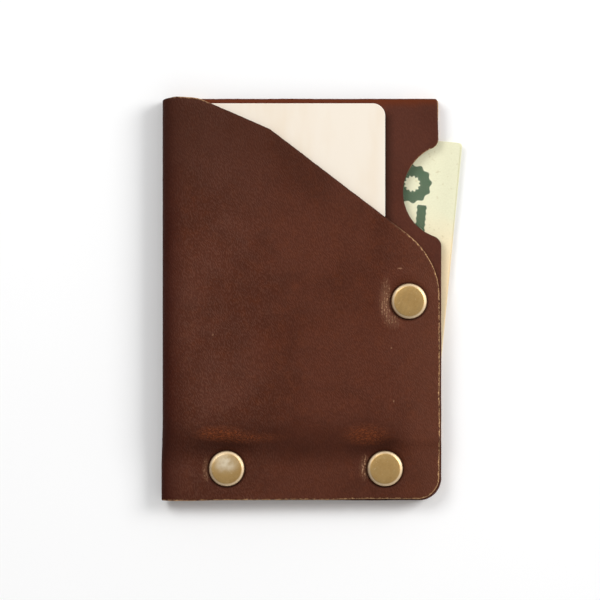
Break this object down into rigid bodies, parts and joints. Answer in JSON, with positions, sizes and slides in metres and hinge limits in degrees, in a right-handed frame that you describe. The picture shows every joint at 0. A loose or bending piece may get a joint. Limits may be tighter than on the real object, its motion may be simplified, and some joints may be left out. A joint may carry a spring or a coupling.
{
  "type": "minimalist wallet",
  "caption": "Slim upright leather wallet: a folded wrap round a divider with a thumb notch, held by round rivets, with a card and a folded banknote in its pockets.",
  "frame": {"origin": "centre of the back panel's flat outer face, which the wallet lies on", "axes": "+X from the spine fold to the open edge, +Y up the wallet towards the pocket mouths, +Z through the thickness towards the front panel"},
  "size_m": [0.0768, 0.103, 0.0074],
  "materials": {
    "leather": "satin",
    "antique_brass": "satin",
    "plain_brass": "satin",
    "card": "satin",
    "paper": "matte"
  },
  "bodies": {
    "wallet": {"leather_wrap": "leather", "divider_panel": "leather", "left_rivet_front_cap": "antique_brass", "left_rivet_socket": "plain_brass", "left_rivet_post": "plain_brass", "left_rivet_back_cap": "antique_brass", "right_rivet_front_cap": "antique_brass", "right_rivet_socket": "plain_brass", "right_rivet_post": "plain_brass", "right_rivet_back_cap": "antique_brass", "side_rivet_front_cap": "antique_brass", "side_rivet_socket": "plain_brass", "side_rivet_post": "plain_brass", "side_rivet_back_cap": "antique_brass"},
    "card": {"card": "card"},
    "banknote": {"banknote": "paper"}
  },
  "joints": [
    {"name": "card_slide", "type": "slide", "parent": "wallet", "child": "card", "axis": [0, 1, 0], "range_m": [0, 0.09]},
    {"name": "banknote_slide", "type": "slide", "parent": "wallet", "child": "banknote", "axis": [0.0906, 0.9959, 0], "range_m": [0, 0.08]}
  ]
}
